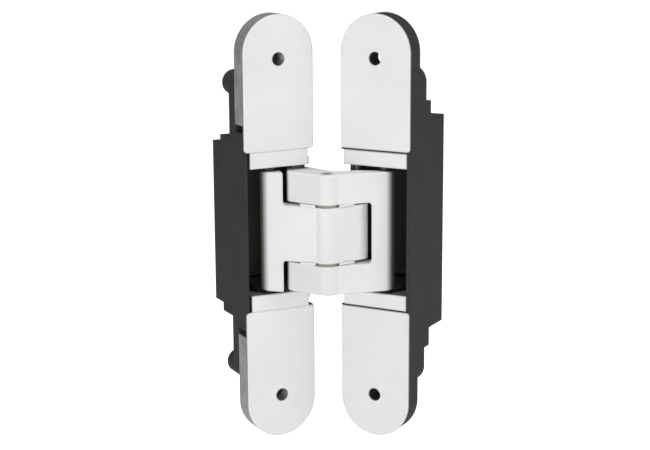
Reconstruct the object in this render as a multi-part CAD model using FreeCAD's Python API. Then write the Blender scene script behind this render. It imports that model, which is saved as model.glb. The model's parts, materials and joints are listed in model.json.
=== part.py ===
import FreeCAD, Part
import cmath
import math
import os

# Concealed door hinge, 160 x 28 mm leaves, all sizes in millimetres and degrees.
# Frame: origin at the middle of the jamb leaf's face plane, +Z up, the jamb face looks
# along -Y, its body goes into the jamb along +Y and its inner side is +X.
# The door leaf and both arms are built at the rest opening below.

V = FreeCAD.Vector

# Opening of the hinge, 0 is shut
OPEN_REST = 125.0
OPEN_MAX = 180.0

# Leaf outline
LEAF_H = 160.0
LEAF_W = 28.0
END_R = LEAF_W / 2.0
HALF_W = LEAF_W / 2.0
HALF_H = LEAF_H / 2.0

# Arms' height and the stack above them: pocket, cheek block, cover edge, housing steps
ARM_HALF_H = 22.5
ARM_END_GAP = 1.5
POCKET_Z = ARM_HALF_H + ARM_END_GAP
JAMB_CHEEK_T = 6.1
DOOR_CHEEK_T = 5.7
JAMB_CHEEK_TOP = POCKET_Z + JAMB_CHEEK_T
DOOR_CHEEK_TOP = POCKET_Z + DOOR_CHEEK_T

# Cover plates with the fixing screw holes, set out from the ends of the leaf
COVER_T = 1.2
COVER_Z0 = JAMB_CHEEK_TOP
COVER_CORNER_R = 1.2
COVER_EDGE = 0.4
FIXING_FROM_END = 16.2
FIXING_Z = HALF_H - FIXING_FROM_END
FIXING_R = 2.5
PEG_FROM_SIDE = 5.5
PEG_FROM_END = 7.5
PEG_X = HALF_W - PEG_FROM_SIDE
PEG_R = 1.5
PEG_LEN = 2.4
PEG_CLEAR = 0.05
HOLE_SPARE = 0.3

# Jamb side: housing, anchor blocks and their clamp screws
WALL = 1.0
JAMB_BOX_OVER = 0.9
JAMB_BOX_Z = COVER_Z0 + JAMB_BOX_OVER
JAMB_REAR_EDGE = 0.8
JAMB_STEP_D = 22.4
JAMB_STEP_RISE = 3.2
JAMB_STEP_Z = JAMB_BOX_Z + JAMB_STEP_RISE
JAMB_BODY_RISE = 3.1
JAMB_BODY_Z = JAMB_STEP_Z + JAMB_BODY_RISE
TRAY_D = 13.6
TRAY_FROM_END = 23.0
TRAY_Z = HALF_H - TRAY_FROM_END
TRAY_CORNER_R = 3.0
ANCHOR_D = 8.2
ANCHOR_GAP = 2.7
ANCHOR_Z0 = JAMB_BODY_Z + ANCHOR_GAP
BOSS_R = 4.7
BOSS_INSET = 0.1
BOSS_X = HALF_W - BOSS_R - BOSS_INSET
BOSS_DROP = 3.0
BOSS_Z = TRAY_Z - BOSS_DROP
BOSS_H = 6.2
CLAMP_DROP = 1.5
CLAMP_Z = (ANCHOR_Z0 + FIXING_Z) / 2.0 - CLAMP_DROP
CLAMP_R = 2.5
CLAMP_HEAD_R = 4.4
CLAMP_HEAD_T = 3.4
CLAMP_SEAT_T = 3.0
CLAMP_SLOT = 1.5
CLAMP_SHORT = 1.0
CLAMP_DRIVE = 3.0
CLAMP_DRIVE_DEPTH = 2.0
PEGS = ((-PEG_X, CLAMP_Z), (PEG_X, HALF_H - PEG_FROM_END))

# Door side: one-piece housing
DOOR_BOX_OVER = 10.6
DOOR_BOX_Z = DOOR_CHEEK_TOP + DOOR_BOX_OVER
DOOR_REAR_R = 1.8
DOOR_STEP_D = 19.9
DOOR_STEP_RISE = 6.9
DOOR_STEP_Z = DOOR_BOX_Z + DOOR_STEP_RISE
DOOR_STEP_EDGE = 1.2
DOOR_BUMP_D = 14.6
DOOR_BUMP_FROM_END = 19.4
DOOR_BUMP_Z = HALF_H - DOOR_BUMP_FROM_END
DOOR_BUMP_R = 6.0
DOOR_END_D = 8.8
DOOR_FIXING_D = 4.9
DOOR_RELIEF_R = 4.0

# Linkage in the jamb face plane, x + iy, hinge shut
SHUT_GAP = 5.0
PIVOT_FROM_SIDE = 5.0
PIVOT_X = HALF_W - PIVOT_FROM_SIDE
PIVOT_Y = 4.5
KNUCKLE_REACH = 17.3416
KNUCKLE_DROP = PIVOT_Y + SHUT_GAP / 2.0
KNUCKLE_X = PIVOT_X - math.sqrt(KNUCKLE_REACH ** 2 - KNUCKLE_DROP ** 2)
SLIDE_X = 1.0
SLIDE_Y = 23.0
PIVOT = complex(PIVOT_X, PIVOT_Y)
KNUCKLE_SHUT = complex(KNUCKLE_X, -SHUT_GAP / 2.0)
SLIDE_OFFSET = complex(SLIDE_X, SLIDE_Y)
FORK_SHARE = 0.6444

# Cheek blocks that carry the pins, and the depths of the housings behind them
CHEEK_BACK = 6.5
CHEEK_D = SLIDE_Y - SHUT_GAP / 2.0 + CHEEK_BACK
JAMB_BEHIND = 3.5
DOOR_BEHIND = 5.0
JAMB_BOX_D = CHEEK_D + JAMB_BEHIND
DOOR_BOX_D = CHEEK_D + DOOR_BEHIND
POCKET_HALF_W = HALF_W - WALL
INNER_WALL_D = 7.7
JAMB_CHEEK_INSET = 2.3
JAMB_CHEEK_HALF_W = HALF_W - JAMB_CHEEK_INSET
DOOR_CHEEK_HALF_W = POCKET_HALF_W
CHEEK_GAP = 0.05
CHEEK_RECESS = 6.0
CHEEK_EDGE = 0.4
CHEEK_LIP = 0.5
INNER_SCREW_INSET = 11.6
OUTER_SCREW_INSET = 4.8
SCREW_X = (HALF_W - INNER_SCREW_INSET, HALF_W - OUTER_SCREW_INSET)
JAMB_SCREW_Y = (TRAY_D + JAMB_STEP_D) / 2
DOOR_SCREW_Y = (DOOR_STEP_D + CHEEK_D) / 2
SCREW_R = 1.5
SCREW_HEAD_R = 2.75
SCREW_HEAD_T = 2.6
SCREW_HEAD_CLEAR = 0.25
SCREW_SINK = 0.4
SCREW_REACH = 4.0
SCREW_DRIVE = 2.4
SCREW_DRIVE_DEPTH = 1.6

# Arms
TONGUE_HALF_H = 10.4
WASHER_T = 1.0
WASHER_PLAY = 0.05
PRONG_Z0 = TONGUE_HALF_H + WASHER_T + 2 * WASHER_PLAY
BARREL_R = 5.2
FLAT = 4.6
FACET_LEN = 14.5
FACET_CORNER_R = 3.0
PIVOT_BOSS_R = 3.4
ROOT_X = 15.8
ROOT_CORNER_R = 5.0
BAR_BELLY = 1.6
BELLY_RUN = 3.0
ARM_CLEAR = 0.45
SLIDE_BOSS_R = 3.3
INNER_FILLET = 1.0
ARM_EDGE = 0.4

# Pins, bushes and washers
PIVOT_PIN_R = 1.75
SLIDE_PIN_R = 2.0
CENTRE_PIN_R = 2.25
PRESS = 0.01
RUN = 0.03
PIN_DEPTH = 4.3
PIN_REACH = POCKET_Z + PIN_DEPTH
PIN_END_GAP = 0.1
SLOT_DEPTH = 4.2
SLOT_FLOOR = POCKET_Z + SLOT_DEPTH
SLIDE_END_GAP = 0.3
SLIDE_PIN_REACH = SLOT_FLOOR - SLIDE_END_GAP
PIN_SINK = 0.6
PIVOT_BUSH_R = 2.5
CENTRE_BUSH_R = 3.0
CENTRE_SPLIT = 0.2
WASHER_R = 4.6
SLIDE_BUSH_R = 2.5
SLOT_PLAY = 0.08
SLOT_SPARE = 1.5
SLOT_ARCS = 4
FLANGE_R = 3.1
SPACER_R = 2.4
END_PLAY = 0.1


def turn(degrees):
    return cmath.exp(1j * math.radians(degrees))


def knuckle(opening):
    return PIVOT + (KNUCKLE_SHUT - PIVOT) * turn(FORK_SHARE * opening)


def slide(opening):
    return knuckle(opening) + SLIDE_OFFSET * turn((1.0 - FORK_SHARE) * opening)


def box(x0, x1, y0, y1, z0, z1):
    return Part.makeBox(x1 - x0, y1 - y0, z1 - z0, V(x0, y0, z0))


def cyl_y(x, z, radius, y0, y1):
    return Part.makeCylinder(radius, y1 - y0, V(x, y0, z), V(0, 1, 0))


def cyl_z(x, y, radius, z0, z1):
    return Part.makeCylinder(radius, z1 - z0, V(x, y, z0), V(0, 0, 1))


def tube_z(x, y, inner, outer, z0, z1):
    return cyl_z(x, y, outer, z0, z1).cut(cyl_z(x, y, inner, z0 - 1, z1 + 1))


def fuse(shapes):
    return shapes[0].multiFuse(shapes[1:]).removeSplitter()


def group(shapes):
    return Part.makeCompound(shapes)


def flip_z(shape):
    return shape.mirror(V(0, 0, 0), V(0, 0, 1))


def round_edges(shape, radius, wanted):
    edges = [edge for edge in shape.Edges if wanted(edge)]
    return shape.makeFillet(radius, edges)


def bevel_edges(shape, width, wanted):
    edges = [edge for edge in shape.Edges if wanted(edge)]
    return shape.makeChamfer(width, edges)


def prism_z(edges, z0, z1):
    face = Part.Face(Part.Wire(Part.__sortEdges__(edges)))
    face.translate(V(0, 0, z0))
    return face.extrude(V(0, 0, z1 - z0))


def polygon_z(points, z0, z1):
    corners = [V(x, y, z0) for x, y in points]
    face = Part.Face(Part.makePolygon(corners + corners[:1]))
    return face.extrude(V(0, 0, z1 - z0))


def end_plate(z0, y0, y1):
    plate = box(-HALF_W, HALF_W, y0, y1, z0, HALF_H - END_R)
    return fuse([plate, cyl_y(0, HALF_H - END_R, END_R, y0, y1)])


def parallel_to(edge, axis):
    ends = [vertex.Point for vertex in edge.Vertexes]
    if len(ends) < 2:
        return False
    run = ends[1].sub(ends[0])
    return run.Length > 0.5 and run.cross(axis).Length < 0.001 * run.Length


def at_depth(edge, depth):
    return all(abs(vertex.Point.y - depth) < 0.001 for vertex in edge.Vertexes)


def is_at(edge, x, y):
    return all(abs(v.Point.x - x) < 0.001 and abs(v.Point.y - y) < 0.001 for v in edge.Vertexes)


# Cover plate with its two press-in pegs, upper one of a leaf
def cover():
    plate = end_plate(COVER_Z0, 0.0, COVER_T)
    lower = lambda edge: parallel_to(edge, V(0, 1, 0)) and abs(edge.Vertexes[0].Point.z - COVER_Z0) < 0.01
    plate = round_edges(plate, COVER_CORNER_R, lower)
    plate = bevel_edges(plate, COVER_EDGE, lambda edge: at_depth(edge, 0.0))
    pegs = [cyl_y(x, z, PEG_R, COVER_T, COVER_T + PEG_LEN) for x, z in PEGS]
    plate = fuse([plate] + pegs)
    return plate.cut(cyl_y(0, FIXING_Z, FIXING_R, -1, COVER_T + 1))


def peg_holes():
    depth = COVER_T + PEG_LEN + HOLE_SPARE
    radius = PEG_R + PEG_CLEAR
    return [cyl_y(x, z, radius, COVER_T - 1, depth) for x, z in PEGS]


# Zinc anchor block behind a jamb cover, clamped to the housing tray through a long hole
def anchor():
    block = end_plate(ANCHOR_Z0, COVER_T, ANCHOR_D)
    cuts = peg_holes()
    cuts.append(cyl_y(0, FIXING_Z, FIXING_R, 0, ANCHOR_D + 1))
    cuts.append(long_hole(CLAMP_R + HOLE_SPARE, 0, ANCHOR_D + 1))
    cuts.append(long_hole(CLAMP_HEAD_R + HOLE_SPARE, 0, ANCHOR_D - CLAMP_SEAT_T))
    return block.cut(fuse(cuts))


def long_hole(radius, y0, y1):
    low, high = CLAMP_Z - CLAMP_SLOT, CLAMP_Z + CLAMP_SLOT
    ends = [cyl_y(0, z, radius, y0, y1) for z in (low, high)]
    return fuse(ends + [box(-radius, radius, y0, y1, low, high)])


def clamp_screw():
    seat = ANCHOR_D - CLAMP_SEAT_T
    half = CLAMP_DRIVE / 2
    head = cyl_y(0, CLAMP_Z, CLAMP_HEAD_R, seat - CLAMP_HEAD_T, seat)
    top = seat - CLAMP_HEAD_T
    drive = box(-half, half, top - 1, top + CLAMP_DRIVE_DEPTH, CLAMP_Z - half, CLAMP_Z + half)
    shank = cyl_y(0, CLAMP_Z, CLAMP_R, seat, TRAY_D - CLAMP_SHORT)
    return fuse([head, shank]).cut(drive)


# Room for both arms, open at the front and along the front of the inner side
def pocket(depth, cheek_half_w, cheek_top):
    side = POCKET_HALF_W
    room = [box(-side, side, -1, depth - WALL, -POCKET_Z, POCKET_Z)]
    room.append(box(-side, HALF_W + 1, -1, INNER_WALL_D, -POCKET_Z, POCKET_Z))
    for z0, z1 in ((POCKET_Z - 1, cheek_top + CHEEK_GAP), (-cheek_top - CHEEK_GAP, 1 - POCKET_Z)):
        reach = cheek_half_w + CHEEK_GAP
        room.append(box(-reach, reach, -1, CHEEK_D + CHEEK_GAP, z0, z1))
        room.append(box(-side, HALF_W + 1, -1, CHEEK_RECESS, z0, z1))
    return fuse(room)


def cheek_screw_holes(y, outside):
    seat = outside - SCREW_HEAD_T - SCREW_SINK
    cuts = []
    for x in SCREW_X:
        shank = cyl_z(x, y, SCREW_R + RUN, POCKET_Z + 1, outside + 1)
        head = cyl_z(x, y, SCREW_HEAD_R + SCREW_HEAD_CLEAR, seat, outside + 1)
        cuts += [shank, head, flip_z(shank), flip_z(head)]
    return cuts


# Box of the full leaf width from the face plane back
def deep_box(depth, half_h):
    return box(-HALF_W, HALF_W, 0, depth, -half_h, half_h)


def jamb_housing():
    rear = lambda edge: at_depth(edge, JAMB_BOX_D)
    body = [bevel_edges(deep_box(JAMB_BOX_D, JAMB_BOX_Z), JAMB_REAR_EDGE, rear)]
    body.append(box(-HALF_W, HALF_W, COVER_T, JAMB_STEP_D, -JAMB_STEP_Z, JAMB_STEP_Z))
    body.append(box(-HALF_W, HALF_W, COVER_T, TRAY_D, -JAMB_BODY_Z, JAMB_BODY_Z))
    tray = box(-HALF_W, HALF_W, ANCHOR_D, TRAY_D, -TRAY_Z, TRAY_Z)
    body.append(round_edges(tray, TRAY_CORNER_R, lambda edge: parallel_to(edge, V(0, 1, 0))))
    for z in (-BOSS_Z, BOSS_Z):
        for x in (-BOSS_X, BOSS_X):
            body.append(cyl_y(x, z, BOSS_R, ANCHOR_D, TRAY_D + BOSS_H))
    solid = fuse(body)
    cuts = [pocket(JAMB_BOX_D, JAMB_CHEEK_HALF_W, JAMB_CHEEK_TOP)]
    for sign in (1, -1):
        low, high = sorted((sign * COVER_Z0, sign * HALF_H))
        cuts.append(box(-HALF_W - 1, HALF_W + 1, -1, COVER_T, low, high))
        cuts.append(cyl_y(0, sign * CLAMP_Z, CLAMP_R + RUN, 0, TRAY_D + 1))
    cuts += cheek_screw_holes(JAMB_SCREW_Y, JAMB_STEP_Z)
    return solid.cut(fuse(cuts))


def door_housing():
    rear = lambda edge: at_depth(edge, DOOR_BOX_D) and parallel_to(edge, V(0, 0, 1))
    body = [round_edges(deep_box(DOOR_BOX_D, DOOR_BOX_Z), DOOR_REAR_R, rear)]
    step = lambda edge: at_depth(edge, DOOR_STEP_D)
    body.append(bevel_edges(deep_box(DOOR_STEP_D, DOOR_STEP_Z), DOOR_STEP_EDGE, step))
    bump = box(-HALF_W, HALF_W, COVER_T, DOOR_BUMP_D, -DOOR_BUMP_Z, DOOR_BUMP_Z)
    body.append(round_edges(bump, DOOR_BUMP_R, lambda edge: parallel_to(edge, V(0, 1, 0))))
    upper = end_plate(0.0, COVER_T, DOOR_END_D)
    body += [upper, flip_z(upper)]
    solid = fuse(body)
    cuts = [pocket(DOOR_BOX_D, DOOR_CHEEK_HALF_W, DOOR_CHEEK_TOP)]
    for sign in (1, -1):
        low, high = sorted((sign * COVER_Z0, sign * HALF_H))
        cuts.append(box(-HALF_W - 1, HALF_W + 1, -1, COVER_T, low, high))
        cuts.append(cyl_y(0, sign * FIXING_Z, FIXING_R, 0, DOOR_BUMP_D + 1))
        cuts.append(cyl_y(0, sign * FIXING_Z, DOOR_RELIEF_R, DOOR_FIXING_D, DOOR_BUMP_D + 1))
    for hole in peg_holes():
        cuts += [hole, flip_z(hole)]
    cuts += cheek_screw_holes(DOOR_SCREW_Y, DOOR_BOX_Z)
    return solid.cut(fuse(cuts))


# Slot along the path of the slide pin between shut and fully open, each side a chain of arcs
def slot(z0, z1):
    half = SLIDE_BUSH_R + SLOT_PLAY
    first, last = -SLOT_SPARE, OPEN_MAX + SLOT_SPARE
    sides = {1: [], -1: []}
    tips = []
    for index in range(2 * SLOT_ARCS + 1):
        opening = first + (last - first) * index / (2 * SLOT_ARCS)
        ahead = slide(opening + 0.5) - slide(opening - 0.5)
        ahead = half * ahead / abs(ahead)
        for side in sides:
            sides[side].append(slide(opening) + side * 1j * ahead)
        tips.append((slide(opening) - ahead, slide(opening) + ahead))
    edges = [arc(sides[1][0], tips[0][0], sides[-1][0]), arc(sides[1][-1], tips[-1][1], sides[-1][-1])]
    for points in sides.values():
        for index in range(0, 2 * SLOT_ARCS, 2):
            edges.append(arc(*points[index:index + 3]))
    return prism_z(edges, z0, z1)


def arc(start, middle, end):
    points = [V(point.real, point.imag, 0) for point in (start, middle, end)]
    return Part.Arc(*points).toShape()


# Cheek block at the mouth of a pocket, upper one: carries a pivot pin end and the slide slot
def cheek(half_w, top, screw_y):
    block = box(-half_w, half_w, 0, CHEEK_D, POCKET_Z, top)
    block = bevel_edges(block, CHEEK_EDGE, lambda edge: at_depth(edge, 0.0))
    cuts = [cyl_z(PIVOT_X, PIVOT_Y, PIVOT_PIN_R + PRESS, POCKET_Z - 1, PIN_REACH + PIN_END_GAP)]
    cuts.append(slot(POCKET_Z - 1, SLOT_FLOOR))
    for x in SCREW_X:
        cuts.append(cyl_z(x, screw_y, SCREW_R + PRESS, top - SCREW_REACH - PIN_END_GAP, top + 1))
    return block.cut(fuse(cuts))


# The jamb's cheek is a little wider in its half next to the arms
def jamb_cheek():
    block = cheek(JAMB_CHEEK_HALF_W, JAMB_CHEEK_TOP, JAMB_SCREW_Y)
    edge = JAMB_CHEEK_HALF_W
    middle = POCKET_Z + JAMB_CHEEK_T / 2
    lip = box(edge - CHEEK_LIP, edge + CHEEK_LIP, CHEEK_EDGE, CHEEK_RECESS - CHEEK_GAP, POCKET_Z, middle)
    return fuse([block, lip])


def door_cheek():
    return cheek(DOOR_CHEEK_HALF_W, DOOR_CHEEK_TOP, DOOR_SCREW_Y)


def cheek_screw(x, y, outside, cheek_top):
    seat = outside - SCREW_HEAD_T - SCREW_SINK
    top = seat + SCREW_HEAD_T
    half = SCREW_DRIVE / 2
    head = cyl_z(x, y, SCREW_HEAD_R, seat, top)
    drive = box(x - half, x + half, y - half, y + half, top - SCREW_DRIVE_DEPTH, top + 1)
    shank = cyl_z(x, y, SCREW_R, cheek_top - SCREW_REACH, seat)
    return fuse([head, shank]).cut(drive)


def cheek_screw_set(y, outside, cheek_top):
    upper = [cheek_screw(x, y, outside, cheek_top) for x in SCREW_X]
    return group(upper + [flip_z(screw) for screw in upper])


# Arm plan in its own frame: knuckle at the origin, x to the slide pin, y out of the front face
SLIDE_AT = (SLIDE_Y, -SLIDE_X)
PIVOT_AT = (-KNUCKLE_DROP, KNUCKLE_X - PIVOT_X)
ROOT_END_X = SLIDE_AT[0] + SLIDE_BOSS_R


# Turn of the other arm, mirrored front to back, as seen from an arm
def other_turn(opening):
    return -180.0 + (2.0 * FORK_SHARE - 1.0) * opening


# Where the other arm's pivot lies in an arm's own frame
def other_pivot(opening):
    seen = complex(PIVOT_AT[0], -PIVOT_AT[1]) * turn(other_turn(opening))
    return (seen.real, seen.imag)


# Crank from the barrel to the pivot boss. Its flat facet lies along the other arm's face
# when the hinge is fully open
def arm_crank(z0, z1):
    along = turn(other_turn(OPEN_MAX))
    pivot = complex(PIVOT_AT[0], PIVOT_AT[1])
    corner = (FACET_LEN - 1j * BARREL_R) * along
    run = pivot - corner
    heading = cmath.phase(run) - math.asin(PIVOT_BOSS_R / abs(run))
    side = corner + cmath.rect(math.sqrt(abs(run) ** 2 - PIVOT_BOSS_R ** 2), heading)
    lean = math.asin((BARREL_R - PIVOT_BOSS_R) / abs(pivot))
    inner = pivot / abs(pivot) * cmath.rect(1.0, math.pi / 2 - lean)
    outline = [-1j * BARREL_R * along, corner, side, pivot]
    outline += [pivot + PIVOT_BOSS_R * inner, BARREL_R * inner, 0j]
    web = polygon_z([(point.real, point.imag) for point in outline], z0, z1)
    web = round_edges(web, FACET_CORNER_R, lambda edge: is_at(edge, corner.real, corner.imag))
    ends = [cyl_z(PIVOT_AT[0], PIVOT_AT[1], PIVOT_BOSS_R, z0, z1), cyl_z(0, 0, BARREL_R, z0, z1)]
    return fuse([web] + ends)


# Space swept by the other arm's crank when the hinge is fully open
def crank_room():
    reach = ARM_HALF_H + 1
    other = arm_crank(-reach, reach)
    floor = [face for face in other.Faces if face.BoundBox.ZMax < 0.01 - reach][0]
    room = floor.makeOffset2D(ARM_CLEAR).extrude(V(0, 0, 2 * reach))
    room = room.mirror(V(0, 0, 0), V(0, 1, 0))
    room.rotate(V(0, 0, 0), V(0, 0, 1), other_turn(OPEN_MAX))
    return room


# Bar from the knuckle into the root, its back clear of the other leaf's pivot pin and spacers
def arm_bar(z0, z1):
    back = other_pivot(OPEN_MAX)[1] + SPACER_R + ARM_CLEAR
    end = SLIDE_AT[0] - 0.8 * SLIDE_BOSS_R
    web = [(0, FLAT), (end, FLAT), (end, back), (ROOT_X, back)]
    web += [(ROOT_X - BELLY_RUN, back - BAR_BELLY), (0.2 * BARREL_R, -0.8 * BARREL_R), (0, 0)]
    return fuse([polygon_z(web, z0, z1), cyl_z(0, 0, BARREL_R, z0, z1)])


# Full-height root around the slide pin, before the undercut for the other arm's crank
def arm_root():
    z0, z1 = -ARM_HALF_H, ARM_HALF_H
    slide_x, slide_y = SLIDE_AT
    back = slide_y - SLIDE_BOSS_R
    outline = [(ROOT_X, FLAT), (ROOT_END_X, FLAT), (ROOT_END_X, slide_y), (slide_x, slide_y)]
    outline += [(slide_x, back), (ROOT_X, back)]
    block = polygon_z(outline, z0, z1)
    corner = lambda edge: parallel_to(edge, V(0, 0, 1)) and is_at(edge, ROOT_END_X, FLAT)
    block = round_edges(block, ROOT_CORNER_R, corner)
    return fuse([block, cyl_z(slide_x, slide_y, SLIDE_BOSS_R, z0, z1)])


# Small round where the root meets the bar, seen from the front
def inner_fillet(z, away):
    r = INNER_FILLET
    low, high = sorted((z, z + away * r))
    corner = box(ROOT_X - r, ROOT_X + r, FLAT - 1.5 * r, FLAT, low, high)
    return corner.cut(cyl_y(ROOT_X - r, z + away * r, r, 0, FLAT + 1))


def soften_ends(arm):
    at_end = lambda edge: all(abs(abs(v.Point.z) - ARM_HALF_H) < 0.001 for v in edge.Vertexes)
    return bevel_edges(arm, ARM_EDGE, at_end)


def drill_arm(arm, knuckle_bore):
    reach = ARM_HALF_H + 1
    holes = ((0, 0, knuckle_bore), PIVOT_AT + (PIVOT_BUSH_R + PRESS,), SLIDE_AT + (SLIDE_PIN_R + PRESS,))
    return arm.cut(fuse([cyl_z(x, y, radius, -reach, reach) for x, y, radius in holes]))


def tongue_arm_own():
    half = TONGUE_HALF_H
    root = soften_ends(arm_root()).cut(crank_room())
    parts = [root, arm_bar(-half, half), arm_crank(-half, half)]
    parts += [inner_fillet(half, 1), inner_fillet(-half, -1)]
    return drill_arm(fuse(parts), CENTRE_BUSH_R + PRESS)


def fork_arm_own():
    parts = [arm_root().cut(crank_room())]
    for z0, z1 in ((PRONG_Z0, ARM_HALF_H), (-ARM_HALF_H, -PRONG_Z0)):
        parts += [arm_bar(z0, z1), arm_crank(z0, z1)]
    parts += [inner_fillet(PRONG_Z0, -1), inner_fillet(-PRONG_Z0, 1)]
    arm = soften_ends(fuse(parts))
    return drill_arm(arm, CENTRE_PIN_R + PRESS)


# From the arm frames, and from a shut door leaf, to the rest pose
def place(shape, point, degrees):
    shape = shape.copy()
    spin = FreeCAD.Placement(V(point.real, point.imag, 0), FreeCAD.Rotation(V(0, 0, 1), degrees))
    shape.Placement = spin.multiply(shape.Placement)
    return shape


def on_tongue(shape):
    heading = 90.0 + (1.0 - FORK_SHARE) * OPEN_REST
    return place(shape, knuckle(OPEN_REST), heading)


def on_fork(shape):
    heading = OPEN_REST - 90.0 - (1.0 - FORK_SHARE) * OPEN_REST
    return place(shape.mirror(V(0, 0, 0), V(0, 1, 0)), knuckle(OPEN_REST), heading)


def on_door(shape):
    centre = knuckle(OPEN_REST)
    shift = centre - centre.conjugate() * turn(OPEN_REST)
    return place(shape.mirror(V(0, 0, 0), V(0, 1, 0)), shift, OPEN_REST)


# Pins, bushes and washers, first in the frame of the piece that holds them
def pivot_pin():
    return cyl_z(PIVOT_X, PIVOT_Y, PIVOT_PIN_R, -PIN_REACH, PIN_REACH)


def pivot_spacers():
    low = TONGUE_HALF_H + END_PLAY
    high = POCKET_Z - END_PLAY
    upper = tube_z(PIVOT_X, PIVOT_Y, PIVOT_PIN_R + RUN, SPACER_R, low, high)
    return group([upper, flip_z(upper)])


def slide_pin():
    return cyl_z(SLIDE_AT[0], SLIDE_AT[1], SLIDE_PIN_R, -SLIDE_PIN_REACH, SLIDE_PIN_REACH)


def slide_bushes():
    low = ARM_HALF_H + END_PLAY
    x, y = SLIDE_AT
    upper = tube_z(x, y, SLIDE_PIN_R + RUN, SLIDE_BUSH_R, low, SLIDE_PIN_REACH)
    return group([upper, flip_z(upper)])


def fork_pivot_bushes():
    x, y = PIVOT_AT
    sleeve = cyl_z(x, y, PIVOT_BUSH_R, PRONG_Z0, ARM_HALF_H)
    flange = cyl_z(x, y, FLANGE_R, ARM_HALF_H, POCKET_Z - END_PLAY)
    bore = cyl_z(x, y, PIVOT_PIN_R + RUN, PRONG_Z0 - 1, POCKET_Z + 1)
    upper = fuse([sleeve, flange]).cut(bore)
    return group([upper, flip_z(upper)])


def tongue_pivot_bush():
    x, y = PIVOT_AT
    return tube_z(x, y, PIVOT_PIN_R + RUN, PIVOT_BUSH_R, -TONGUE_HALF_H, TONGUE_HALF_H)


def centre_pin():
    reach = ARM_HALF_H - PIN_SINK
    return cyl_z(0, 0, CENTRE_PIN_R, -reach, reach)


def centre_bushes():
    upper = tube_z(0, 0, CENTRE_PIN_R + RUN, CENTRE_BUSH_R, CENTRE_SPLIT / 2, TONGUE_HALF_H)
    return group([upper, flip_z(upper)])


def knuckle_washer():
    z0 = TONGUE_HALF_H + WASHER_PLAY
    return tube_z(0, 0, CENTRE_PIN_R + RUN, WASHER_R, z0, z0 + WASHER_T)


def build():
    nodes = {}
    nodes["jamb_housing"] = jamb_housing()
    nodes["jamb_upper_anchor"] = anchor()
    nodes["jamb_lower_anchor"] = flip_z(anchor())
    nodes["jamb_upper_cover"] = cover()
    nodes["jamb_lower_cover"] = flip_z(cover())
    nodes["jamb_clamp_screws"] = group([clamp_screw(), flip_z(clamp_screw())])
    nodes["jamb_upper_cheek"] = jamb_cheek()
    nodes["jamb_lower_cheek"] = flip_z(jamb_cheek())
    nodes["jamb_cheek_screws"] = cheek_screw_set(JAMB_SCREW_Y, JAMB_STEP_Z, JAMB_CHEEK_TOP)
    nodes["jamb_pivot_pin"] = pivot_pin()
    nodes["door_housing"] = on_door(door_housing())
    nodes["door_upper_cover"] = on_door(cover())
    nodes["door_lower_cover"] = on_door(flip_z(cover()))
    nodes["door_upper_cheek"] = on_door(door_cheek())
    nodes["door_lower_cheek"] = on_door(flip_z(door_cheek()))
    nodes["door_cheek_screws"] = on_door(cheek_screw_set(DOOR_SCREW_Y, DOOR_BOX_Z, DOOR_CHEEK_TOP))
    nodes["door_pivot_pin"] = on_door(pivot_pin())
    nodes["door_pivot_spacers"] = on_door(pivot_spacers())
    nodes["fork_arm"] = on_fork(fork_arm_own())
    nodes["fork_slide_pin"] = on_fork(slide_pin())
    nodes["fork_slide_bushes"] = on_fork(slide_bushes())
    nodes["fork_pivot_bushes"] = on_fork(fork_pivot_bushes())
    nodes["centre_pin"] = on_fork(centre_pin())
    nodes["tongue_arm"] = on_tongue(tongue_arm_own())
    nodes["tongue_slide_pin"] = on_tongue(slide_pin())
    nodes["tongue_slide_bushes"] = on_tongue(slide_bushes())
    nodes["tongue_pivot_bush"] = on_tongue(tongue_pivot_bush())
    nodes["centre_bushes"] = on_tongue(centre_bushes())
    nodes["upper_knuckle_washer"] = on_fork(knuckle_washer())
    nodes["lower_knuckle_washer"] = on_fork(flip_z(knuckle_washer()))
    return nodes


os.makedirs("parts", exist_ok=True)
for name, shape in build().items():
    shape.exportStep("parts/" + name + ".step")
    print(name, len(shape.Solids), shape.isValid(), round(shape.Volume, 1))
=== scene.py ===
import json
import math
import bmesh
import bpy
from mathutils import Euler, Matrix, Vector


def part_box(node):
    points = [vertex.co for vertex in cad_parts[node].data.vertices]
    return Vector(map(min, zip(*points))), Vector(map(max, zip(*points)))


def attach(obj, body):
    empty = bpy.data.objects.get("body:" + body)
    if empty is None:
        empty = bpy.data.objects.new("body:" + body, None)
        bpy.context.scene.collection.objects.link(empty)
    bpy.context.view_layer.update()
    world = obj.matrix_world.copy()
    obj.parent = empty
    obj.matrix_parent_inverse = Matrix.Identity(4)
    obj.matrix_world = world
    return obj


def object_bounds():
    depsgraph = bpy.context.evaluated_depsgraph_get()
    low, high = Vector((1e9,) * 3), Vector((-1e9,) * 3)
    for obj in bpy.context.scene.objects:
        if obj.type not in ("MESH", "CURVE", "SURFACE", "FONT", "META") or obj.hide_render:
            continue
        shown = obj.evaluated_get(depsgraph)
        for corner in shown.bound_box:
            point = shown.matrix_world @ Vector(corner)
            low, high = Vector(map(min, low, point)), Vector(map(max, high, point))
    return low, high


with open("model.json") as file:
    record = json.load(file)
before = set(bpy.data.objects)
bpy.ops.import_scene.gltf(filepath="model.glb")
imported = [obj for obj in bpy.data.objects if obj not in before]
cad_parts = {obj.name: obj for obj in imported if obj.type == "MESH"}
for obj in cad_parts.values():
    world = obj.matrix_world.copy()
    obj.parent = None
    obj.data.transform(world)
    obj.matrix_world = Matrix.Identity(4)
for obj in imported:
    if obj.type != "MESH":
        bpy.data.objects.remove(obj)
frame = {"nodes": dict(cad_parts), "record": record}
cad_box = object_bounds()
nodes = frame["nodes"]

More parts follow.
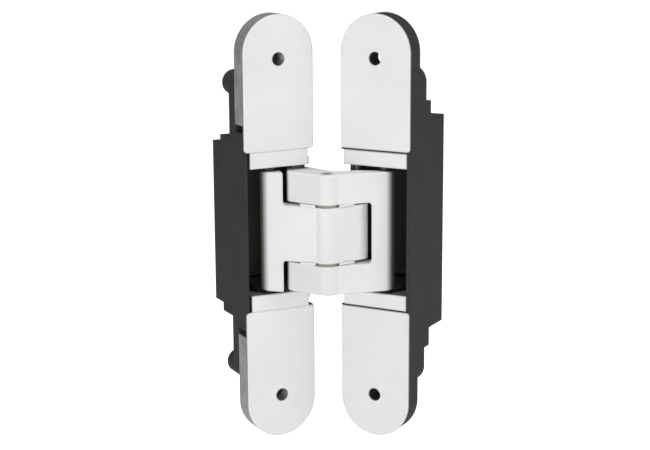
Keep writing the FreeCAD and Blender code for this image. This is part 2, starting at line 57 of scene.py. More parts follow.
# Cover plates: the four round-ended plates that close each leaf. Zinc castings powder
# coated satin white on the face, bare at their sides, held by pegs in the block behind.
MM = 0.001
COAT_WHITE = (0.80, 0.797, 0.79, 1.0)
# Edge tone of the coat: a thinner coat there, with a painted highlight on top.
COAT_THIN_EDGE_HIGHLIGHT = (0.87, 0.868, 0.86, 1.0)
COAT_SHADE = (0.765, 0.762, 0.757, 1.0)
COAT_ROUGH = (0.36, 0.5)
COAT_EDGE_R = 0.35 * MM
COAT_EDGE_GAIN = 2.2
COAT_DRIFT = 22 * MM
COAT_RELIEF = 0.35
COVER_PEEL = 0.45 * MM
COVER_PEEL_RISE = 0.006 * MM
BARE_SIDE = (0.26, 0.257, 0.25, 1.0)
COVER_WRAP = 0.35 * MM
COVER_WRAP_FADE = 0.15 * MM
EDGE_SAMPLES = 6
GRAIN_DETAIL = 2.0
DRIFT_DETAIL = 3.0
GRAIN_BAND = (0.3, 0.7)
DRIFT_BAND = (0.35, 0.65)


def put(tree, kind, inputs=None, **settings):
    """A new node with its settings, and its inputs set to a value or linked to a socket."""
    made = tree.nodes.new(kind)
    for name, value in settings.items():
        setattr(made, name, value)
    for name, value in (inputs or {}).items():
        if isinstance(value, bpy.types.NodeSocket):
            tree.links.new(value, made.inputs[name])
        else:
            made.inputs[name].default_value = value
    return made


def start_group(name, wants, gives):
    """An empty shader group with inputs by name, and outputs by name and kind."""
    tree = bpy.data.node_groups.new(name, "ShaderNodeTree")
    for label in wants:
        tree.interface.new_socket(label, in_out="INPUT", socket_type="NodeSocketFloat")
    for label, kind in gives.items():
        tree.interface.new_socket(label, in_out="OUTPUT", socket_type="NodeSocket" + kind)
    return tree, tree.nodes.new("NodeGroupInput").outputs, tree.nodes.new("NodeGroupOutput").inputs


def edge_group():
    """Mask of the outer edges, and the surface normal turned over a small radius there."""
    tree, want, give = start_group("rounded_edges", ("Radius", "Gain"),
                                   {"Mask": "Float", "Normal": "Vector"})
    soft = put(tree, "ShaderNodeBevel", {"Radius": want["Radius"]}, samples=EDGE_SAMPLES)
    true = put(tree, "ShaderNodeNewGeometry")
    both = put(tree, "ShaderNodeVectorMath", {0: soft.outputs[0], 1: true.outputs["Normal"]},
               operation="DOT_PRODUCT")
    away = put(tree, "ShaderNodeMath", {0: 1.0, 1: both.outputs["Value"]}, operation="SUBTRACT")
    gain = put(tree, "ShaderNodeMath", {0: away.outputs[0], 1: want["Gain"]},
               operation="MULTIPLY", use_clamp=True)
    tree.links.new(gain.outputs[0], give["Mask"])
    tree.links.new(soft.outputs[0], give["Normal"])
    return tree


def grain_group():
    """Fine even grain, and slow drift of tone, both about the middle value of one half."""
    tree, want, give = start_group("surface_grain", ("Grain size", "Drift size"),
                                   {"Grain": "Float", "Drift": "Float"})
    place = put(tree, "ShaderNodeTexCoord").outputs["Object"]
    for label, detail in (("Grain", GRAIN_DETAIL), ("Drift", DRIFT_DETAIL)):
        scale = put(tree, "ShaderNodeMath", {0: 1.0, 1: want[label + " size"]}, operation="DIVIDE")
        noise = put(tree, "ShaderNodeTexNoise",
                    {"Vector": place, "Scale": scale.outputs[0], "Detail": detail})
        tree.links.new(noise.outputs[0], give[label])
    return tree


def depth_group():
    """Mask that goes from nought to one a set way along one direction."""
    tree, want, give = start_group("depth_along", ("Along X", "Along Y", "Along Z", "Start", "Fade"),
                                   {"Mask": "Float"})
    place = put(tree, "ShaderNodeTexCoord").outputs["Object"]
    along = put(tree, "ShaderNodeCombineXYZ",
                {"X": want["Along X"], "Y": want["Along Y"], "Z": want["Along Z"]})
    depth = put(tree, "ShaderNodeVectorMath", {0: place, 1: along.outputs[0]}, operation="DOT_PRODUCT")
    past = put(tree, "ShaderNodeMath", {0: depth.outputs["Value"], 1: want["Start"]},
               operation="SUBTRACT")
    part = put(tree, "ShaderNodeMath", {0: past.outputs[0], 1: want["Fade"]}, operation="DIVIDE",
               use_clamp=True)
    tree.links.new(part.outputs[0], give["Mask"])
    return tree


rounded_edges = edge_group()
surface_grain = grain_group()
depth_along = depth_group()


def use_group(tree, group, **values):
    """The outputs of a shader group that is placed in a material with its own values."""
    made = tree.nodes.new("ShaderNodeGroup")
    made.node_tree = group
    for name, value in values.items():
        made.inputs[name.replace("_", " ")].default_value = value
    return made.outputs


def past_depth(tree, along, start, fade):
    """Mask that is one past this place along a direction."""
    return use_group(tree, depth_along, Along_X=along.x, Along_Y=along.y, Along_Z=along.z,
                     Start=start, Fade=fade)["Mask"]


def mix(tree, factor, first, second):
    """Colour between two colours or colour sockets."""
    made = put(tree, "ShaderNodeMix", data_type="RGBA")
    for socket, value in (("Factor_Float", factor), ("A_Color", first), ("B_Color", second)):
        target = next(one for one in made.inputs if one.identifier == socket)
        if isinstance(value, bpy.types.NodeSocket):
            tree.links.new(value, target)
        else:
            target.default_value = value
    return next(one for one in made.outputs if one.identifier == "Result_Color")


def ranged(tree, value, band, reach=(0.0, 1.0)):
    """The band of a value spread over a reach, and held at its ends outside the band."""
    made = put(tree, "ShaderNodeMapRange", {"Value": value, "From Min": band[0], "From Max": band[1],
                                            "To Min": reach[0], "To Max": reach[1]})
    return made.outputs[0]


def start_material(name, metallic=0.0):
    """A material with its node tree and its shader, as metal or not."""
    material = bpy.data.materials.new(name)
    material.use_nodes = True
    tree = material.node_tree
    shader = tree.nodes["Principled BSDF"]
    shader.inputs["Metallic"].default_value = metallic
    return material, tree, shader


def lay_on(tree, shader, tone, rough, normal, height, relief, rise):
    """The tone and the roughness, and the height as fine relief over the softened normal."""
    tree.links.new(tone, shader.inputs["Base Color"])
    tree.links.new(rough, shader.inputs["Roughness"])
    bump = put(tree, "ShaderNodeBump", {"Height": height, "Normal": normal, "Strength": relief,
                                        "Distance": rise})
    tree.links.new(bump.outputs[0], shader.inputs["Normal"])


def finish(material, *names):
    """The same material on each of these frame nodes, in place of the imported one."""
    for name in names:
        mesh = nodes[name].data
        mesh.materials.clear()
        mesh.materials.append(material)


def powder_coat(name, peel, peel_rise):
    """Satin white powder coat: faint orange peel, lighter over the edges, partly a thinner coat there
    and partly a painted highlight.
    """
    material, tree, shader = start_material(name)
    edges = use_group(tree, rounded_edges, Radius=COAT_EDGE_R, Gain=COAT_EDGE_GAIN)
    grain = use_group(tree, surface_grain, Grain_size=peel, Drift_size=COAT_DRIFT)
    tone = mix(tree, ranged(tree, grain["Drift"], DRIFT_BAND), COAT_SHADE, COAT_WHITE)
    # Lighter over the edges: a thinner coat, with a painted highlight on top.
    tone = mix(tree, edges["Mask"], tone, COAT_THIN_EDGE_HIGHLIGHT)
    rough = ranged(tree, grain["Grain"], GRAIN_BAND, COAT_ROUGH)
    lay_on(tree, shader, tone, rough, edges["Normal"], grain["Grain"], COAT_RELIEF, peel_rise)
    return material


def nearest_depth(name, inward):
    """How far along this direction the front of a frame node stands."""
    return min(inward.dot(vertex.co) for vertex in nodes[name].data.vertices)


def dark_behind(material, inward, start, fade, dark):
    """The coat gives way to a darker tone at this depth behind the front."""
    tree = material.node_tree
    shader = tree.nodes["Principled BSDF"]
    coat = shader.inputs["Base Color"].links[0].from_socket
    tone = mix(tree, past_depth(tree, inward, start, fade), coat, dark)
    tree.links.new(tone, shader.inputs["Base Color"])


mounts = {mount["name"]: mount for mount in frame["record"]["mounts"]}
INWARD = {"jamb": Vector((0.0, 1.0, 0.0)), "door": -Vector(mounts["door_upper_screw"]["axis"])}
face_depth = {leaf: nearest_depth(leaf + "_upper_cover", inward) for leaf, inward in INWARD.items()}

for leaf, inward in INWARD.items():
    cover_coat = powder_coat("white_coat_covers_" + leaf, COVER_PEEL, COVER_PEEL_RISE)
    dark_behind(cover_coat, inward, face_depth[leaf] + COVER_WRAP, COVER_WRAP_FADE, BARE_SIDE)
    finish(cover_coat, leaf + "_upper_cover", leaf + "_lower_cover")

# Cheek blocks: the blocks at the mouth of each pocket that carry the pins. Zinc castings
# coated white at the front, and darker from just behind their front faces inwards.
CHEEK_DARK = (0.20, 0.194, 0.187, 1.0)
CHEEK_WRAP = 0.5 * MM
CHEEK_WRAP_FADE = 0.7 * MM
CHEEK_PEEL = 0.35 * MM
CHEEK_PEEL_RISE = 0.005 * MM

for leaf, inward in INWARD.items():
    cheek_coat = powder_coat("white_coat_cheeks_" + leaf, CHEEK_PEEL, CHEEK_PEEL_RISE)
    front = nearest_depth(leaf + "_lower_cheek", inward)
    dark_behind(cheek_coat, inward, front + CHEEK_WRAP, CHEEK_WRAP_FADE, CHEEK_DARK)
    finish(cheek_coat, leaf + "_upper_cheek", leaf + "_lower_cheek")

# Arms: the tongue arm and the fork arm that fold into the pockets. Zinc castings with
# reamed holes for the pins, coated satin white, with painted shade on their roots.
# Painted shade on the arm roots, darkening from just in front of the leaf face inwards.
ROOT_PAINTED_SHADE = (0.13, 0.12, 0.11, 1.0)
ROOT_SHADE_RISE = 0.2 * MM
ROOT_SHADE_FADE = 2.4 * MM
ARM_PEEL = 0.55 * MM
ARM_PEEL_RISE = 0.008 * MM

for arm, leaf in (("tongue_arm", "jamb"), ("fork_arm", "door")):
    arm_coat = powder_coat("white_coat_" + arm, ARM_PEEL, ARM_PEEL_RISE)
    # Painted shade: the coat darkens towards the roots, behind the leaf face.
    dark_behind(arm_coat, INWARD[leaf], face_depth[leaf] - ROOT_SHADE_RISE, ROOT_SHADE_FADE, ROOT_PAINTED_SHADE)
    finish(arm_coat, arm)

# Housings: the deep boxes let into the jamb and the door. Glass-filled black plastic,
# injection moulded with a fine eroded texture, greyer on its edges. Painted light makes it lighter in
# the pockets, and lighter all over on the door leaf.
HOUSING_BLACK = (0.031, 0.0296, 0.0292, 1.0)
HOUSING_PALER = (0.0375, 0.036, 0.0357, 1.0)
HOUSING_GREY = (0.065, 0.063, 0.062, 1.0)
# Painted light: share by which each housing is lifted towards grey all over.
HOUSING_PAINTED_LIGHT = {"jamb": 0.0, "door": 0.2}
HOUSING_ROUGH = (0.48, 0.68)
HOUSING_SHEEN = 0.15
HOUSING_EDGE_R = 1.6 * MM
HOUSING_EDGE_GAIN = 1.5
ERODED_GRAIN = 0.16 * MM
ERODED_DRIFT = 14 * MM
ERODED_RELIEF = 0.5
ERODED_RISE = 0.012 * MM
# Painted light: the grey that the inner walls of the pockets are lifted to.
POCKET_PAINTED_LIGHT = (0.16, 0.155, 0.149, 1.0)
POCKET_HALF_W = 13.2 * MM
POCKET_HALF_H = 24.0 * MM
POCKET_LIP = 1.0 * MM
REAR_WALL = 0.7 * MM
POCKET_FADE = 0.2 * MM
UPWARD = Vector((0.0, 0.0, 1.0))


def between(tree, along, low, high):
    """Mask that is one between two places along a direction."""
    past_low, past_high = (past_depth(tree, along, place, POCKET_FADE) for place in (low, high))
    return put(tree, "ShaderNodeMath", {0: past_low, 1: past_high}, operation="SUBTRACT").outputs[0]


def pocket_mask(tree, leaf):
    """Mask that is one on the inner walls of this leaf's pocket."""
    inward = INWARD[leaf]
    sideways = Vector((inward.y, -inward.x, 0.0))
    across = [sideways.dot(vertex.co) for vertex in nodes[leaf + "_upper_cover"].data.vertices]
    middle = (min(across) + max(across)) / 2.0
    rear = max(inward.dot(vertex.co) for vertex in nodes[leaf + "_housing"].data.vertices)
    inside = between(tree, sideways, middle - POCKET_HALF_W, middle + POCKET_HALF_W)
    for along, low, high in ((inward, face_depth[leaf] + POCKET_LIP, rear - REAR_WALL),
                             (UPWARD, -POCKET_HALF_H, POCKET_HALF_H)):
        both = put(tree, "ShaderNodeMath", {0: inside, 1: between(tree, along, low, high)},
                   operation="MULTIPLY")
        inside = both.outputs[0]
    return inside


def moulded_black(leaf):
    """Eroded black plastic, greyer on its edges, with painted light: lighter all over on the door
    leaf, and lighter in its pocket.
    """
    material, tree, shader = start_material("moulded_black_" + leaf)
    shader.inputs["Specular IOR Level"].default_value = HOUSING_SHEEN
    edges = use_group(tree, rounded_edges, Radius=HOUSING_EDGE_R, Gain=HOUSING_EDGE_GAIN)
    grain = use_group(tree, surface_grain, Grain_size=ERODED_GRAIN, Drift_size=ERODED_DRIFT)
    tone = mix(tree, ranged(tree, grain["Drift"], DRIFT_BAND), HOUSING_BLACK, HOUSING_PALER)
    # Painted light: the door housing lifted towards grey.
    tone = mix(tree, HOUSING_PAINTED_LIGHT[leaf], tone, HOUSING_GREY)
    tone = mix(tree, edges["Mask"], tone, HOUSING_GREY)
    # Painted light on the inner walls of the pocket.
    tone = mix(tree, pocket_mask(tree, leaf), tone, POCKET_PAINTED_LIGHT)
    rough = ranged(tree, grain["Grain"], GRAIN_BAND, HOUSING_ROUGH)
    lay_on(tree, shader, tone, rough, edges["Normal"], grain["Grain"], ERODED_RELIEF, ERODED_RISE)
    return material


black_moulding = {leaf: moulded_black(leaf) for leaf in INWARD}
for leaf, moulding in black_moulding.items():
    finish(moulding, leaf + "_housing")

# Anchor blocks: the two blocks behind the jamb covers that take the fixing screws. Raw
# zinc castings, linished along the leaf, each with a threaded screw hole.
ZINC = (0.40, 0.396, 0.385, 1.0)
ZINC_DARK = (0.28, 0.276, 0.268, 1.0)
ZINC_BRIGHT = (0.62, 0.615, 0.60, 1.0)
ZINC_ROUGH = (0.4, 0.66)
ZINC_METAL = 0.85
ZINC_EDGE_R = 0.25 * MM
ZINC_EDGE_GAIN = 2.5
ZINC_GRAIN = 0.3 * MM
ZINC_DRIFT = 6 * MM
ZINC_DRIFT_BAND = (0.38, 0.62)
ZINC_RELIEF = 0.5
ZINC_RISE = 0.02 * MM
BELT_WIDTH = 0.3 * MM
BELT_STRETCH = 0.06
BELT_BAND = (0.4, 0.68)
BELT_SHARE = (0.0, 0.9)
BELT_DETAIL = 3.0
THREAD_PITCH = 0.8 * MM
THREAD_DEPTH = 0.42 * MM
THREAD_SINK = 0.1 * MM
THREAD_END = 0.5 * MM
THREAD_STEPS = 40
RIDGE_SIDES = 3
BOSS_LEN = 5.4 * MM


def line_group():
    """Long fine marks along Z, as from a belt, about the middle value of one half."""
    tree, want, give = start_group("belt_marks", ("Width", "Stretch"), {"Lines": "Float"})
    place = put(tree, "ShaderNodeTexCoord").outputs["Object"]
    scale = put(tree, "ShaderNodeMath", {0: 1.0, 1: want["Width"]}, operation="DIVIDE")
    squeeze = put(tree, "ShaderNodeCombineXYZ", {"X": 1.0, "Y": 1.0, "Z": want["Stretch"]})
    drawn = put(tree, "ShaderNodeVectorMath", {0: place, 1: squeeze.outputs[0]}, operation="MULTIPLY")
    noise = put(tree, "ShaderNodeTexNoise",
                {"Vector": drawn.outputs[0], "Scale": scale.outputs[0], "Detail": BELT_DETAIL})
    tree.links.new(noise.outputs[0], give["Lines"])
    return tree


belt_marks = line_group()


def linished_zinc():
    """Bare zinc with bright belt marks over a mottled grey, and bright worn edges."""
    material, tree, shader = start_material("raw_zinc", metallic=ZINC_METAL)
    edges = use_group(tree, rounded_edges, Radius=ZINC_EDGE_R, Gain=ZINC_EDGE_GAIN)
    lines = use_group(tree, belt_marks, Width=BELT_WIDTH, Stretch=BELT_STRETCH)
    grain = use_group(tree, surface_grain, Grain_size=ZINC_GRAIN, Drift_size=ZINC_DRIFT)
    tone = mix(tree, ranged(tree, grain["Drift"], ZINC_DRIFT_BAND), ZINC_DARK, ZINC)
    tone = mix(tree, ranged(tree, lines["Lines"], BELT_BAND, BELT_SHARE), tone, ZINC_BRIGHT)
    tone = mix(tree, edges["Mask"], tone, ZINC_BRIGHT)
    rough = ranged(tree, lines["Lines"], GRAIN_BAND, ZINC_ROUGH)
    height = put(tree, "ShaderNodeMath", {0: lines["Lines"], 1: grain["Grain"]}, operation="ADD")
    lay_on(tree, shader, tone, rough, edges["Normal"], height.outputs[0], ZINC_RELIEF, ZINC_RISE)
    return material


raw_zinc = linished_zinc()
finish(raw_zinc, "jamb_upper_anchor", "jamb_lower_anchor")

block_low, block_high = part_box("jamb_upper_anchor")
screw_radius = mounts["jamb_screws"]["dims"]["hole_r_mm"] * MM
screw_spacing = mounts["jamb_screws"]["dims"]["spacing_y_mm"] * MM


def thread_tree():
    """Helical thread ridges along Y, one in each screw hole of the two anchor blocks."""
    tree = bpy.data.node_groups.new("screw_threads", "GeometryNodeTree")
    wants = {}
    for label in ("Radius", "Pitch", "Depth", "Start", "Length", "Spacing"):
        wants[label] = tree.interface.new_socket(label, in_out="INPUT", socket_type="NodeSocketFloat")
    tree.interface.new_socket("Mesh", in_out="OUTPUT", socket_type="NodeSocketGeometry")
    want = tree.nodes.new("NodeGroupInput").outputs
    give = tree.nodes.new("NodeGroupOutput").inputs
    turns = put(tree, "ShaderNodeMath", {0: want["Length"], 1: want["Pitch"]}, operation="DIVIDE")
    spiral = put(tree, "GeometryNodeCurveSpiral",
                 {"Resolution": THREAD_STEPS, "Rotations": turns.outputs[0],
                  "Start Radius": want["Radius"], "End Radius": want["Radius"],
                  "Height": want["Length"]})
    ridge = put(tree, "GeometryNodeCurvePrimitiveCircle",
                {"Resolution": RIDGE_SIDES, "Radius": want["Depth"]})
    swept = put(tree, "GeometryNodeCurveToMesh",
                {"Curve": spiral.outputs[0], "Profile Curve": ridge.outputs[0], "Fill Caps": True})
    shift = put(tree, "ShaderNodeCombineXYZ", {"Y": want["Start"]})
    laid = put(tree, "GeometryNodeTransform",
               {"Geometry": swept.outputs[0], "Translation": shift.outputs[0],
                "Rotation": (-math.pi / 2, 0.0, 0.0)})
    half = put(tree, "ShaderNodeMath", {0: want["Spacing"], 1: -0.5}, operation="MULTIPLY")
    first = put(tree, "ShaderNodeCombineXYZ", {"Z": half.outputs[0]})
    step = put(tree, "ShaderNodeCombineXYZ", {"Z": want["Spacing"]})
    holes = put(tree, "GeometryNodeMeshLine",
                {"Count": 2, "Start Location": first.outputs[0], "Offset": step.outputs[0]})
    placed = put(tree, "GeometryNodeInstanceOnPoints",
                 {"Points": holes.outputs[0], "Instance": laid.outputs[0]})
    solid = put(tree, "GeometryNodeRealizeInstances", {"Geometry": placed.outputs[0]})
    coated = put(tree, "GeometryNodeSetMaterial", {"Geometry": solid.outputs[0], "Material": raw_zinc})
    tree.links.new(coated.outputs[0], give["Mesh"])
    return tree, wants


def shown(name, data):
    """A new object in the scene, at the origin, that carries this mesh, light or camera."""
    made = bpy.data.objects.new(name, data)
    bpy.context.scene.collection.objects.link(made)
    return made


def grown(name, tree, wants, values):
    """The plain mesh object that a Geometry Nodes tree makes from these input values."""
    seed = shown(name + "_seed", bpy.data.meshes.new(name + "_seed"))
    modifier = seed.modifiers.new("nodes", "NODES")
    modifier.node_group = tree
    for label, value in values.items():
        modifier[wants[label].identifier] = value
    ready = seed.evaluated_get(bpy.context.evaluated_depsgraph_get())
    mesh = bpy.data.meshes.new_from_object(ready)
    mesh.name = name
    bpy.data.objects.remove(seed)
    return shown(name, mesh)


threads = grown("anchor_screw_threads", *thread_tree(), {
    "Radius": screw_radius + THREAD_SINK, "Pitch": THREAD_PITCH, "Depth": THREAD_DEPTH,
    "Start": block_low.y + THREAD_END,
    "Length": block_high.y + BOSS_LEN - block_low.y - 2.0 * THREAD_END, "Spacing": screw_spacing})
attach(threads, "jamb")

# Bosses on the back of the anchor blocks, which carry the thread on behind each fixing
# hole. Cast in one with the block, so that the hole looks dark right through.
BOSS_R = 4.4 * MM
BOSS_SINK = 0.2 * MM
BOSS_BEVEL = 0.4 * MM
TURN_STEPS = 64


def turned(name, profile, material):
    """A closed profile of (radius, height) points turned about Z, as a plain mesh object."""
    shape = bmesh.new()
    rows = []
    for step in range(TURN_STEPS):
        angle = 2.0 * math.pi * step / TURN_STEPS
        rows.append([shape.verts.new((radius * math.cos(angle), radius * math.sin(angle), height))
                     for radius, height in profile])
    for step in range(TURN_STEPS):
        here, there = rows[step], rows[(step + 1) % TURN_STEPS]
        for k in range(len(profile)):
            n = (k + 1) % len(profile)
            shape.faces.new((here[k], there[k], there[n], here[n]))
    bmesh.ops.recalc_face_normals(shape, faces=shape.faces)
    mesh = bpy.data.meshes.new(name)
    shape.to_mesh(mesh)
    shape.free()
    mesh.materials.append(material)
    return shown(name, mesh)


def move(piece, spot, along):
    """Turns the piece's mesh from Z to a direction and shifts it, its object left at the origin."""
    turn = UPWARD.rotation_difference(along).to_matrix().to_4x4()
    piece.data.transform(Matrix.Translation(spot) @ turn)


def shell(inner, outer, low, high, bevel):
    """Profile of a plain ring with its outer corners bevelled."""
    return [(inner, low), (outer - bevel, low), (outer, low + bevel), (outer, high - bevel),
            (outer - bevel, high), (inner, high)]


for name, side in (("upper_anchor_boss", 1), ("lower_anchor_boss", -1)):
    boss = turned(name, shell(screw_radius, BOSS_R, -BOSS_SINK, BOSS_LEN, BOSS_BEVEL), raw_zinc)
    move(boss, (0.0, block_high.y, side * screw_spacing / 2.0), INWARD["jamb"])
    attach(boss, "jamb")

# Sleeves on the back of the door housing, which guide the two fixing screws. Moulded in
# one with the housing, in the same black plastic, so that little light shows through.
SLEEVE_R = 4.0 * MM
SLEEVE_LEN = 3.0 * MM

for place in ("upper", "lower"):
    mount = mounts["door_" + place + "_screw"]
    bore = mount["dims"]["r_mm"] * MM
    rear = mount["dims"]["length_mm"] * MM / 2.0
    profile = shell(bore, SLEEVE_R, rear - BOSS_SINK, rear + SLEEVE_LEN, BOSS_BEVEL)
    sleeve = turned("door_" + place + "_sleeve", profile, black_moulding["door"])
    move(sleeve, mount["pos_m"], INWARD["door"])
    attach(sleeve, "door")

# Pins and screws: steel pins pressed into the arms and cheeks, and the screws that hold
# the cheeks and the anchor blocks. Ground and then blackened in hot salts.
PIN_STEEL = (0.10, 0.098, 0.095, 1.0)
PIN_ROUGH = (0.22, 0.42)
PIN_MARKS = 0.12 * MM
SCREW_STEEL = (0.14, 0.138, 0.134, 1.0)
SCREW_ROUGH = (0.30, 0.50)
SCREW_MARKS = 0.2 * MM
STEEL_DARK = (0.05, 0.049, 0.048, 1.0)
STEEL_EDGE_R = 0.15 * MM
STEEL_GRAIN = 0.25 * MM
STEEL_DRIFT = 4 * MM
STEEL_DRIFT_BAND = (0.4, 0.65)
STEEL_DRIFT_SHARE = (0.0, 0.7)
STEEL_RELIEF = 0.3
STEEL_RISE = 0.01 * MM
GRINDING_STRETCH = 8.0


def ground_steel(name, colour, rough, marks):
    """Blackened steel with faint grinding marks round it, and a slow drift of tone."""
    material, tree, shader = start_material(name, metallic=1.0)
    edges = use_group(tree, rounded_edges, Radius=STEEL_EDGE_R)
    lines = use_group(tree, belt_marks, Width=marks, Stretch=GRINDING_STRETCH)["Lines"]
    grain = use_group(tree, surface_grain, Grain_size=STEEL_GRAIN, Drift_size=STEEL_DRIFT)
    drift = ranged(tree, grain["Drift"], STEEL_DRIFT_BAND, STEEL_DRIFT_SHARE)
    tone = mix(tree, drift, colour, STEEL_DARK)
    lay_on(tree, shader, tone, ranged(tree, lines, GRAIN_BAND, rough), edges["Normal"], lines,
           STEEL_RELIEF, STEEL_RISE)
    return material


finish(ground_steel("pin_steel", PIN_STEEL, PIN_ROUGH, PIN_MARKS),
       "jamb_pivot_pin", "door_pivot_pin", "fork_slide_pin", "tongue_slide_pin", "centre_pin",
       "door_pivot_spacers")
finish(ground_steel("screw_steel", SCREW_STEEL, SCREW_ROUGH, SCREW_MARKS),
       "jamb_cheek_screws", "door_cheek_screws", "jamb_clamp_screws")

# Bearings: the washers and bushes at the knuckle, turned from natural acetal, and the
# bushes round the other pins, turned from black acetal. Waxy, with faint lathe marks.
ACETAL = (0.365, 0.335, 0.294, 1.0)
ACETAL_WORN = (0.285, 0.261, 0.229, 1.0)
BLACK_ACETAL = (0.035, 0.034, 0.033, 1.0)
BLACK_ACETAL_WORN = (0.022, 0.021, 0.021, 1.0)
ACETAL_ROUGH = (0.34, 0.5)
ACETAL_WAX = 0.05
ACETAL_WAX_DEPTH = 0.5 * MM
ACETAL_EDGE_R = 0.12 * MM
ACETAL_GRAIN = 0.2 * MM
ACETAL_DRIFT = 3 * MM
ACETAL_DRIFT_BAND = (0.38, 0.66)
ACETAL_DRIFT_SHARE = (0.0, 0.8)
ACETAL_RELIEF = 0.3
ACETAL_RISE = 0.01 * MM
LATHE_MARKS = 0.15 * MM
LATHE_STRETCH = 10.0


def turned_acetal(name, colour, worn):
    """Turned plastic, a little see-through at its skin, with lathe marks round it."""
    material, tree, shader = start_material(name)
    shader.inputs["Subsurface Weight"].default_value = ACETAL_WAX
    shader.inputs["Subsurface Scale"].default_value = ACETAL_WAX_DEPTH
    edges = use_group(tree, rounded_edges, Radius=ACETAL_EDGE_R)
    lines = use_group(tree, belt_marks, Width=LATHE_MARKS, Stretch=LATHE_STRETCH)["Lines"]
    grain = use_group(tree, surface_grain, Grain_size=ACETAL_GRAIN, Drift_size=ACETAL_DRIFT)
    drift = ranged(tree, grain["Drift"], ACETAL_DRIFT_BAND, ACETAL_DRIFT_SHARE)
    rough = ranged(tree, grain["Grain"], GRAIN_BAND, ACETAL_ROUGH)
    lay_on(tree, shader, mix(tree, drift, colour, worn), rough, edges["Normal"], lines,
           ACETAL_RELIEF, ACETAL_RISE)
    return material


finish(turned_acetal("natural_acetal", ACETAL, ACETAL_WORN),
       "upper_knuckle_washer", "lower_knuckle_washer", "centre_bushes")
finish(turned_acetal("black_acetal", BLACK_ACETAL, BLACK_ACETAL_WORN),
       "fork_slide_bushes", "tongue_slide_bushes", "fork_pivot_bushes", "tongue_pivot_bush")

# Knuckle rings: the raised rings on the tongue, one round each washer, that nearly meet
# the prongs of the fork. Cast in one with the tongue and coated white with it.
RING_ROOM = 0.85 * MM
RING_OUTER_R = 10.0 * MM
RING_GAP = 0.1 * MM
RING_SINK = 0.3 * MM
TRIM_STRETCH = 1.2
TRIM_MERGE = 0.001 * MM


def trim(piece, keep):
    """Cuts a piece back to what lies within a merged and taller copy of a frame node."""
    shape = bmesh.new()
    shape.from_mesh(keep.data)
    bmesh.ops.remove_doubles(shape, verts=shape.verts, dist=TRIM_MERGE)
    bmesh.ops.scale(shape, vec=(1.0, 1.0, TRIM_STRETCH), verts=shape.verts)
    mesh = bpy.data.meshes.new("tool")
    shape.to_mesh(mesh)
    shape.free()
    tool = shown("tool", mesh)
    cut = piece.modifiers.new("within", "BOOLEAN")
    cut.operation = "INTERSECT"
    cut.solver = "EXACT"
    cut.object = tool
    ready = piece.evaluated_get(bpy.context.evaluated_depsgraph_get())
    result = bpy.data.meshes.new_from_object(ready)
    piece.modifiers.remove(cut)
    piece.data = result
    bpy.data.objects.remove(tool)


ring_coat = powder_coat("white_coat_rings", ARM_PEEL, ARM_PEEL_RISE)
for side, place in ((1, "upper"), (-1, "lower")):
    low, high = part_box(place + "_knuckle_washer")
    axis = ((low.x + high.x) / 2.0, (low.y + high.y) / 2.0, 0.0)
    inner = (high.x - low.x) / 2.0 + RING_ROOM
    near, far = sorted((low.z, high.z), key=abs)
    bottom, top = sorted((near - side * RING_SINK, far - side * RING_GAP))
    ring = turned(place + "_tongue_ring", shell(inner, RING_OUTER_R, bottom, top, 0.0), ring_coat)
    move(ring, axis, UPWARD)
    trim(ring, nodes["tongue_arm"])
    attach(ring, "tongue")

# Floor: a plain pale sheet a little under the hinge, which stands free as held by its
# jamb leaf. It glows a little towards the camera alone. It isn't part of the hinge.
WHITE = (1.0, 1.0, 1.0, 1.0)
FLOOR_DROP = 60 * MM
FLOOR_REACH = 12.0
FLOOR_TONES = ((0.84, 0.84, 0.84, 1.0), (0.86, 0.86, 0.86, 1.0))
FLOOR_ROUGH = 0.8
FLOOR_GLOW = 0.85
FLOOR_GRAIN = 1.0 * MM
FLOOR_DRIFT = 0.4


def pale_sheet():
    """Matt off-white with a slow drift of tone, which glows to the camera alone."""
    material, tree, shader = start_material("pale_floor")
    grain = use_group(tree, surface_grain, Grain_size=FLOOR_GRAIN, Drift_size=FLOOR_DRIFT)
    tree.links.new(mix(tree, grain["Drift"], *FLOOR_TONES), shader.inputs["Base Color"])
    shader.inputs["Roughness"].default_value = FLOOR_ROUGH
    shader.inputs["Emission Color"].default_value = WHITE
    seen = put(tree, "ShaderNodeLightPath").outputs["Is Camera Ray"]
    glow = put(tree, "ShaderNodeMath", {0: seen, 1: FLOOR_GLOW}, operation="MULTIPLY")
    tree.links.new(glow.outputs[0], shader.inputs["Emission Strength"])
    return material


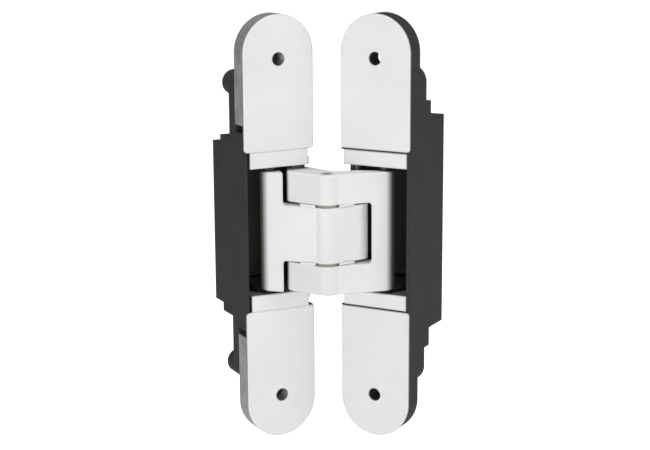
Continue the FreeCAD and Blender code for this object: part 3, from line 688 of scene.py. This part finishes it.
corners = ((-1, -1), (1, -1), (1, 1), (-1, 1))
floor_z = cad_box[0][2] - FLOOR_DROP
floor_mesh = bpy.data.meshes.new("floor")
floor_mesh.from_pydata([(x * FLOOR_REACH, y * FLOOR_REACH, floor_z) for x, y in corners], [],
                       [(0, 1, 2, 3)])
floor_mesh.materials.append(pale_sheet())
floor = shown("floor", floor_mesh)

# Light: a white room with soft round lights to the left, to the right, in front and
# above, so that all faces come out nearly even, as in a catalogue picture. Each has its
# place and its width in metres, and its power in watts.
ROOM_GLOW = 0.255
LIGHT_AIM = Vector((0.02, 0.0, 0.0))
LIGHTS = (("left_light", (-1.42, -0.70, 0.10), 0.5, 10.4),
          ("right_light", (0.50, -0.60, 0.08), 0.45, 1.95),
          ("front_light", (-0.25, -0.75, 0.0), 0.3, 0.5),
          ("top_light", (-0.03, -0.12, 1.35), 0.7, 9.0))

world = bpy.data.worlds.new("white_room")
bpy.context.scene.world = world
world.use_nodes = True
room = world.node_tree.nodes["Background"]
room.inputs["Color"].default_value = WHITE
room.inputs["Strength"].default_value = ROOM_GLOW
bpy.context.scene.view_settings.view_transform = "Standard"

for name, place, width, power in LIGHTS:
    light = bpy.data.lights.new(name, "AREA")
    light.shape = "DISK"
    light.size = width
    light.energy = power
    lamp = shown(name, light)
    lamp.location = place
    lamp.rotation_euler = (LIGHT_AIM - Vector(place)).to_track_quat("-Z", "Y").to_euler()

# Camera: at the photograph's angle, from in front of the jamb leaf and a little above.
# The lens is for a frame of 650 by 450 pixels on a 36 mm sensor.
FOCAL_PX = 1572.3
FRAME_PX = 650.0
SENSOR_MM = 36.0
CAMERA_AT = (-0.241324, -0.515902, 0.128279)
CAMERA_TURN = (77.504, 0.314, -26.805)
NEAR_CLIP = 10 * MM

view = bpy.data.cameras.new("photo_view")
view.sensor_width = SENSOR_MM
view.lens = FOCAL_PX * SENSOR_MM / FRAME_PX
view.clip_start = NEAR_CLIP
camera = shown("photo_view", view)
camera.location = CAMERA_AT
camera.rotation_euler = Euler([math.radians(angle) for angle in CAMERA_TURN], "XYZ")
bpy.context.scene.camera = camera
